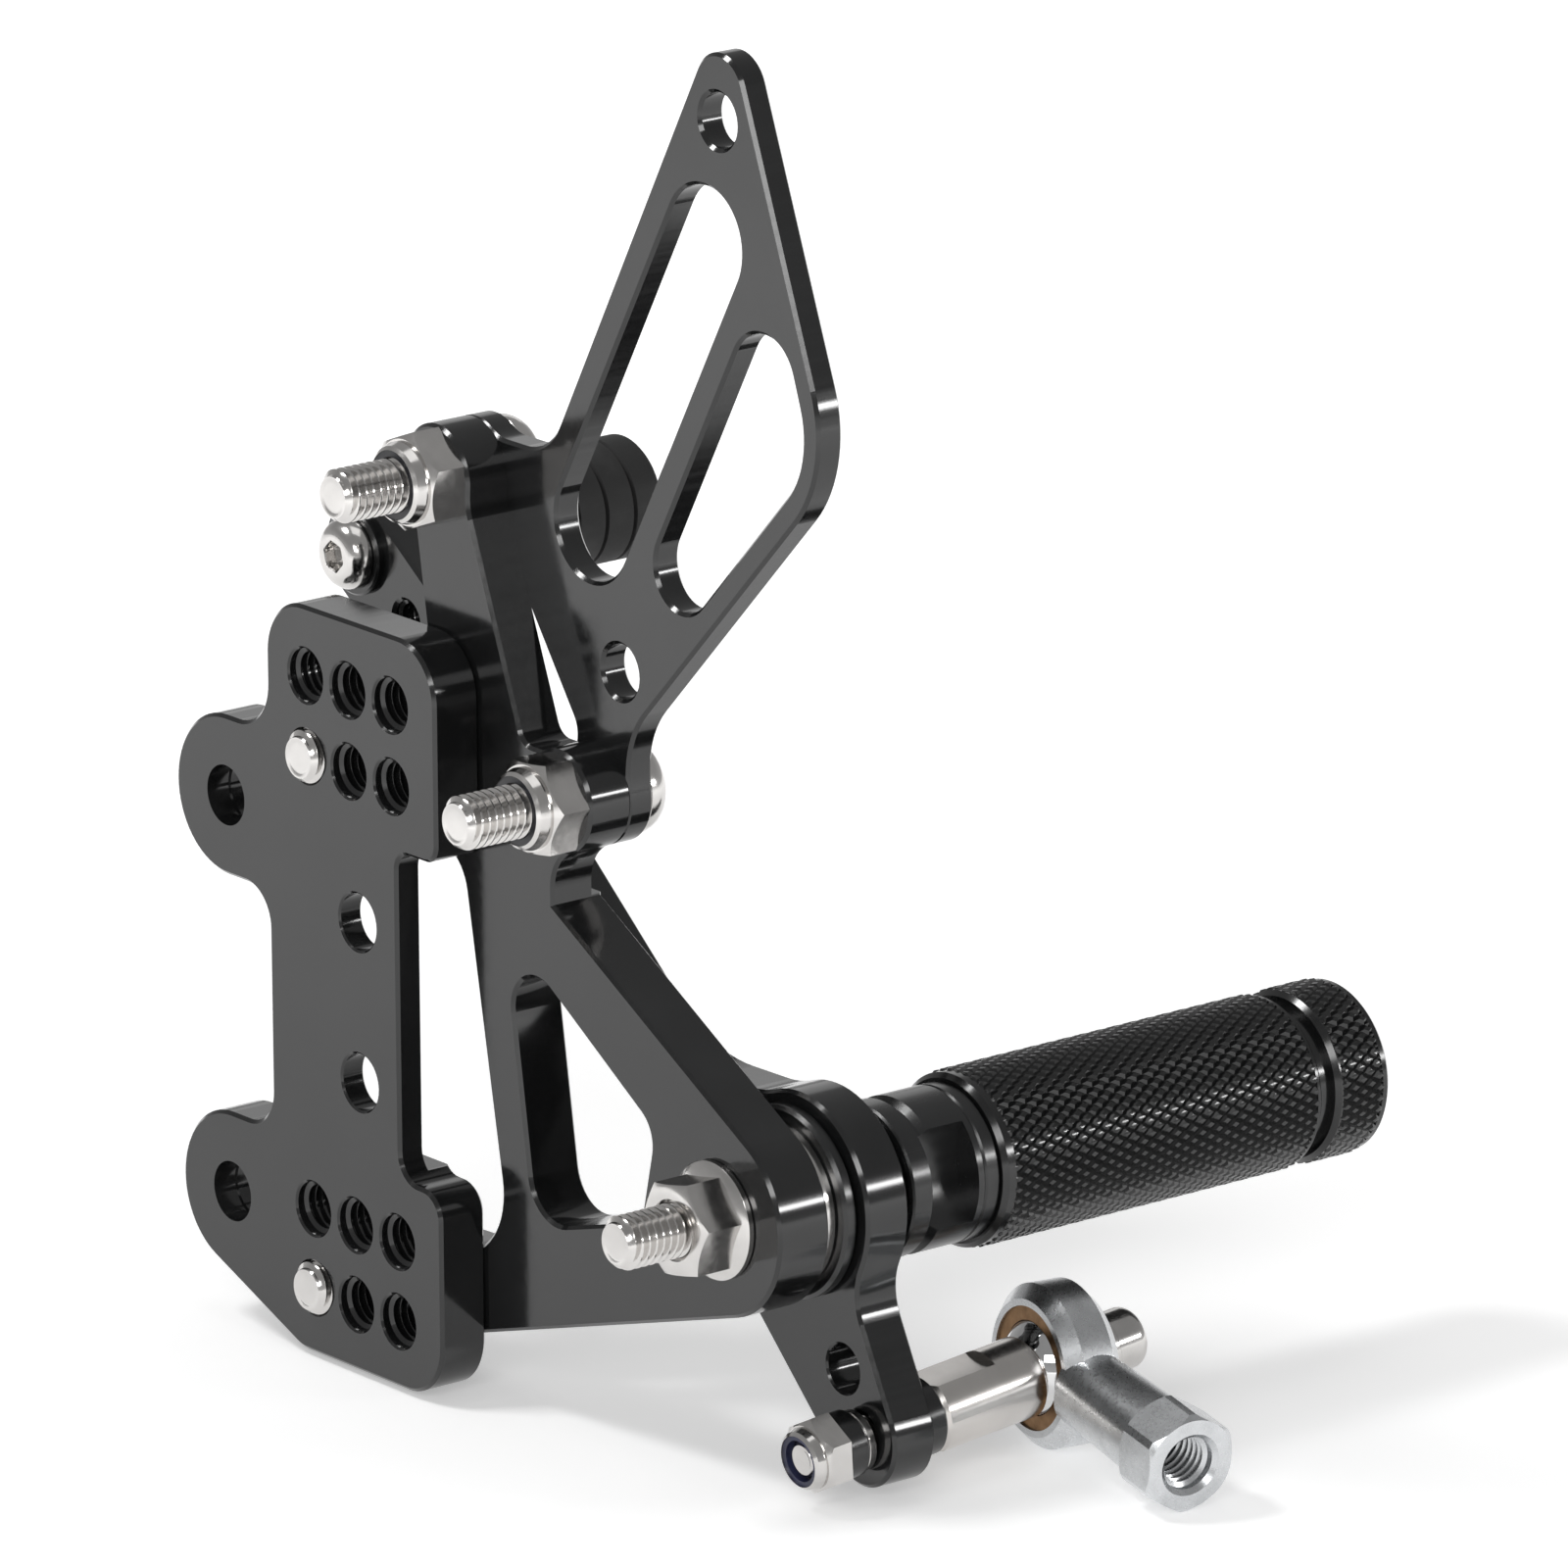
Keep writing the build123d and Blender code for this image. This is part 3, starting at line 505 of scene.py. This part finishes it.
guard_tip, guard_head = span("guard_bolts")
guard_seat = span("heel_guard")[1]
shape = bmesh.new()
for (x, z), turn in zip(GUARD_BOLT, GUARD_TURNS):
    place = line_at(x, z)
    head = button_head(shape, place, guard_seat, M8_HEAD_R, guard_head - guard_seat, M8_SOCKET, turn)
    bolt(shape, place, guard_tip, guard_seat, M8, M8_PITCH, GUARD_THREAD, head)
piece("guard_bolts_threaded", shape, STAINLESS, "carrier", "stainless", "guard_bolts")

adapter_tip, adapter_head = span("adapter_bolts")
adapter_seat = adapter_head - ADAPTER_HEAD
shape = bmesh.new()
for (x, z), turn in zip(ADAPTER_BOLT, ADAPTER_TURNS):
    place = line_at(x, z)
    head = button_head(shape, place, adapter_seat, M8_HEAD_R, ADAPTER_HEAD, M8_SOCKET, turn)
    bolt(shape, place, adapter_tip, adapter_seat, M8, M8_PITCH, ADAPTER_THREAD, head)
piece("adapter_bolts_threaded", shape, STAINLESS, "carrier", "stainless", "adapter_bolts")

stud_tip, stud_end = span("peg_stud")
stud_rest = [(M8, stud_tip + STUD_THREAD), (M8, stud_end - STUD_BEVEL), (M8 - STUD_BEVEL, stud_end)]
shape = bmesh.new()
place = line_at(*PEG)
threaded_end(shape, place, stud_tip, M8, M8_PITCH, STUD_THREAD)
lathe(shape, place, stud_rest, ROUND, (False, True))
piece("peg_stud_threaded", shape, STAINLESS, "carrier", "stainless", "peg_stud")

toe_low, toe_high = span("toe_screw")
toe_seat = span("toe_washer")[0]
shape = bmesh.new()
place = line_at(*TOE) @ Matrix.Rotation(math.pi, 4, "X")
head = button_head(shape, place, -toe_seat, M6_HEAD_R, toe_seat - toe_low, M6_SOCKET, TOE_TURN)
bolt(shape, place, -toe_high, -toe_seat, M6, M6_PITCH, TOE_THREAD, head)
piece("toe_screw_threaded", shape, STAINLESS, "pedal", "stainless", "toe_screw")


def flange_nut(bm, place, h, af, bore):
    """Hexagon nut with a bevelled top and a low cone that runs out into a flange, its seat at zero."""
    flats = hex_edge(af, 0)
    rim_r = FLANGE_R - FLANGE_EDGE
    top = af / 2 - NUT_TOP_IN

    def cone(r):
        return FLANGE_RIM + FLANGE_SLOPE * (rim_r - r)

    def bevel(r):
        return h - math.tan(math.radians(NUT_BEVEL)) * (r - top)

    outline = [(bore, 0), (rim_r, 0), (FLANGE_R, FLANGE_EDGE), (FLANGE_R, FLANGE_RIM - FLANGE_EDGE),
               (rim_r, FLANGE_RIM), (flats, cone), (flats, bevel), (top, h),
               (bore + NUT_BORE_BEVEL, h), (bore, h - NUT_BORE_BEVEL), (bore, 0)]
    skin(bm, [ring(bm, place, r, y, 2 * ROUND) for r, y in outline])


nut_low, nut_high = span("peg_nut")
shape = bmesh.new()
spin = Matrix.Rotation(math.radians(PEG_NUT_TURN), 4, "Y")
place = line_at(*PEG) @ Matrix.Translation((0, nut_high, 0)) @ Matrix.Rotation(math.pi, 4, "X") @ spin
flange_nut(shape, place, nut_high - nut_low, PEG_NUT_FLATS, M8 + NUT_PLAY)
piece("peg_nut_flanged", shape, STAINLESS, "carrier", "stainless", "peg_nut")

shape = bmesh.new()
place = along(joints["rod_end_swivel"])
head = socket_head(shape, place, [*LINK_FLANGE, *dome(*LINK_DOME)], M6_SOCKET, LINK_TURN, LINK_SOCKET_DEPTH)
bolt(shape, place, LINK_TIP, LINK_SEAT, M6, M6_PITCH, LINK_THREAD, head)
piece("link_bolt_threaded", shape, STAINLESS, "pedal", "stainless", "link_bolt")


# Threads inside the tapped holes

plate_low, plate_high = span("adapter_plate")
plate_coil = (plate_low + PLATE_LEAD_LOW, plate_high - PLATE_LEAD_HIGH)
shape = bmesh.new()
for top in (GRID_TOP, GRID_LOW):
    for x in GRID_X:
        for z in (top, top - GRID_STEP):
            if (x, round(z, 3)) not in ADAPTER_BOLT:
                coil(shape, line_at(x, z), *plate_coil, M8_HOLE, M8_CREST, M8_PITCH, M8_COIL_ROUND)
piece("adapter_hole_threads", shape, ALUMINIUM, "carrier", "black_aluminium")

shape = bmesh.new()
coil(shape, along(mounts["rod_thread"]), *ROD_COIL, M8_HOLE, M8_CREST, M8_PITCH, M8_COIL_ROUND)
piece("rod_end_threads", shape, ZINC, "rod_end", "zinc")

shape = bmesh.new()
coil(shape, along(mounts["toe_spare_thread"]), *TOE_COIL, M6_HOLE, M6_CREST, M6_PITCH, M6_COIL_ROUND)
piece("toe_hole_threads", shape, ALUMINIUM, "pedal", "black_aluminium")


# Knurled peg

def knurl(bm, place, y0, y1, r):
    """Diamond knurl between two Y stations: low domes between two sets of helical grooves."""
    around = 2 * math.pi * r / KNURL_ROUND
    length = around / math.tan(math.radians(KNURL_SLANT))
    rows = int((y1 - y0) / length) + KNURL_SPARE
    start = (y0 + y1) / 2 - rows * length / 2
    low = r - KNURL_DEPTH
    reach = KNURL_LAND

    def at(u, v, radius):
        t = math.pi * u / KNURL_ROUND
        return place @ Vector((radius * math.cos(t), start + v * length / 2, radius * math.sin(t)))

    corners = {}

    def corner(u, v):
        key = (u % (2 * KNURL_ROUND), v)
        if key not in corners:
            corners[key] = bm.verts.new(at(key[0], v, low))
        return corners[key]

    for v in range(1, 2 * rows):
        for u in range(v % 2, 2 * KNURL_ROUND, 2):
            base = [corner(u + 1, v), corner(u, v + 1), corner(u - 1, v), corner(u, v - 1)]
            tops = [bm.verts.new(at(u + du * reach, v + dv * reach, r - KNURL_DOME))
                    for du, dv in ((1, 0), (0, 1), (-1, 0), (0, -1))]
            peak = bm.verts.new(at(u, v, r))
            for i in range(4):
                j = (i + 1) % 4
                bm.faces.new((tops[i], tops[j], peak))
                bm.faces.new((base[i], base[j], tops[j], tops[i]))

    # The ends are cut off square and bevelled down to the hems
    axis = (place.to_3x3() @ Vector((0, 1, 0))).normalized()
    cuts = ((y0, -1, True), (y1, 1, True), (y0 + HEM_DROP, -1, False), (y1 - HEM_DROP, 1, False))
    for y, side, clear in cuts:
        bmesh.ops.bisect_plane(bm, geom=bm.verts[:] + bm.edges[:] + bm.faces[:], dist=SLIVER,
                               plane_co=place @ Vector((0, y, 0)), plane_no=axis * side, clear_outer=clear)
    back = place.inverted()
    for v in bm.verts:
        p = back @ v.co
        limit = min(r - HEM_DROP + p.y - y0, r - HEM_DROP + y1 - p.y)
        radius = math.hypot(p.x, p.z)
        if radius > limit:
            v.co = place @ Vector((p.x * limit / radius, p.y, p.z * limit / radius))
    bmesh.ops.remove_doubles(bm, verts=bm.verts, dist=WELD)
    edges = [e for e in bm.edges if e.is_boundary]
    bmesh.ops.holes_fill(bm, edges=edges, sides=0)


def hem(bm, place, y, r, run):
    """Smooth turned band from a bevelled end at y, a little way into the knurl."""
    side = 1 if run > 0 else -1
    profile = [(r - HEM_BEVEL, y), (r, y + side * HEM_BEVEL), (r, y + run + side * HEM_LAP)]
    lathe(bm, place, profile, 2 * ROUND)


def knurled(bm, place, y0, y1, r, hems):
    """Knurl between two smooth hems. The knurl comes first, because it cuts all that is there."""
    hem0, hem1 = hems
    knurl(bm, place, y0 + hem0, y1 - hem1, r)
    hem(bm, place, y0, r - HEM_DROP, hem0)
    hem(bm, place, y1, r - HEM_DROP, -hem1)


place = line_at(*PEG)
sleeve_low, sleeve_high = span("peg_sleeve")
sleeve_r = (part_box("peg_sleeve")[1].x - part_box("peg_sleeve")[0].x) / 2 / MM
shape = bmesh.new()
knurled(shape, place, sleeve_low, sleeve_high, sleeve_r, SLEEVE_HEMS)
piece("peg_sleeve_knurled", shape, PEG_BLACK, "carrier", "black_peg", "peg_sleeve", smooth=KNURL_SMOOTH)

cap_high = span("peg_cap")[1]
cap_low = sleeve_high + GROOVE_WIDTH
shape = bmesh.new()
knurled(shape, place, cap_low, cap_high, sleeve_r, CAP_HEMS)
lathe(shape, place, [(GROOVE_R, sleeve_high), (GROOVE_R, cap_low)], GROOVE_ROUND)
piece("peg_cap_knurled", shape, PEG_BLACK, "carrier", "black_peg", "peg_cap", smooth=KNURL_SMOOTH)


# Floor, light and camera

def area(name, place, target, power, width, height):
    """Rectangular lamp, aimed at its target."""
    data = bpy.data.lights.new(name, "AREA")
    data.shape = "RECTANGLE"
    data.size, data.size_y = width, height
    data.energy = power
    lamp = bpy.data.objects.new(name, data)
    bpy.context.scene.collection.objects.link(lamp)
    lamp.location = place
    lamp.rotation_euler = (Vector(target) - lamp.location).to_track_quat("-Z", "Y").to_euler()


def floor():
    """White floor that keeps the shadow, with a glow that grows outwards to plain white."""
    bm = bmesh.new()
    bmesh.ops.create_grid(bm, x_segments=2, y_segments=2, size=FLOOR_SIZE)
    mesh = bpy.data.meshes.new("floor")
    bm.to_mesh(mesh)
    bm.free()
    obj = bpy.data.objects.new("floor", mesh)
    obj.location = (0, 0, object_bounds()[0][2])
    bpy.context.scene.collection.objects.link(obj)
    mat = bpy.data.materials.new("floor_white")
    mat.use_nodes = True
    tree = mat.node_tree
    tree.nodes.remove(tree.nodes["Principled BSDF"])
    paper = tree.nodes.new("ShaderNodeBsdfDiffuse")
    paper.inputs["Color"].default_value = FLOOR_WHITE
    glow = tree.nodes.new("ShaderNodeEmission")
    path = tree.nodes.new("ShaderNodeLightPath")
    seen = path.outputs["Is Camera Ray"]
    for ray in ("Is Glossy Ray", "Is Transmission Ray"):
        either = tree.nodes.new("ShaderNodeMath")
        either.operation = "MAXIMUM"
        tree.links.new(seen, either.inputs[0])
        tree.links.new(path.outputs[ray], either.inputs[1])
        seen = either.outputs[0]
    coords = tree.nodes.new("ShaderNodeTexCoord")
    reach = tree.nodes.new("ShaderNodeVectorMath")
    reach.operation = "LENGTH"
    tree.links.new(coords.outputs["Object"], reach.inputs[0])
    level = tree.nodes.new("ShaderNodeMapRange")
    for key, value in FLOOR_GLOW.items():
        level.inputs[key].default_value = value
    tree.links.new(reach.outputs["Value"], level.inputs["Value"])
    share = tree.nodes.new("ShaderNodeMath")
    share.operation = "MULTIPLY"
    tree.links.new(seen, share.inputs[0])
    tree.links.new(level.outputs["Result"], share.inputs[1])
    tree.links.new(share.outputs[0], glow.inputs["Strength"])
    total = tree.nodes.new("ShaderNodeAddShader")
    tree.links.new(paper.outputs[0], total.inputs[0])
    tree.links.new(glow.outputs[0], total.inputs[1])
    tree.links.new(total.outputs[0], tree.nodes["Material Output"].inputs["Surface"])
    mesh.materials.append(mat)
    obj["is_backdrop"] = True


def world():
    """Grey studio room, a little dimmer overhead."""
    sky = bpy.data.worlds.new("studio")
    bpy.context.scene.world = sky
    sky.use_nodes = True
    tree = sky.node_tree
    heading = tree.nodes.new("ShaderNodeTexCoord")
    split = tree.nodes.new("ShaderNodeSeparateXYZ")
    ramp = tree.nodes.new("ShaderNodeValToRGB")
    for stop, (at, colour) in zip(ramp.color_ramp.elements, (ROOM_LEVEL, ROOM_ABOVE)):
        stop.position = at
        stop.color = colour
    tree.links.new(heading.outputs["Generated"], split.inputs[0])
    tree.links.new(split.outputs["Z"], ramp.inputs["Fac"])
    tree.links.new(ramp.outputs["Color"], tree.nodes["Background"].inputs["Color"])


floor()
world()
for lamp in LAMPS:
    area(*lamp)

camera = bpy.data.cameras.new("camera")
camera.lens = CAMERA_LENS
camera.sensor_width = CAMERA_SENSOR
camera.clip_end = CAMERA_REACH
eye = bpy.data.objects.new("camera", camera)
bpy.context.scene.collection.objects.link(eye)
right = Vector(CAMERA_RIGHT).normalized()
forward = Vector(CAMERA_FORWARD).normalized()
up = right.cross(forward).normalized()
basis = Matrix((right, up, -forward)).transposed()
eye.matrix_world = Matrix.Translation(CAMERA_PLACE) @ basis.to_4x4()
bpy.context.scene.camera = eye
bpy.context.scene.view_settings.view_transform = "Standard"
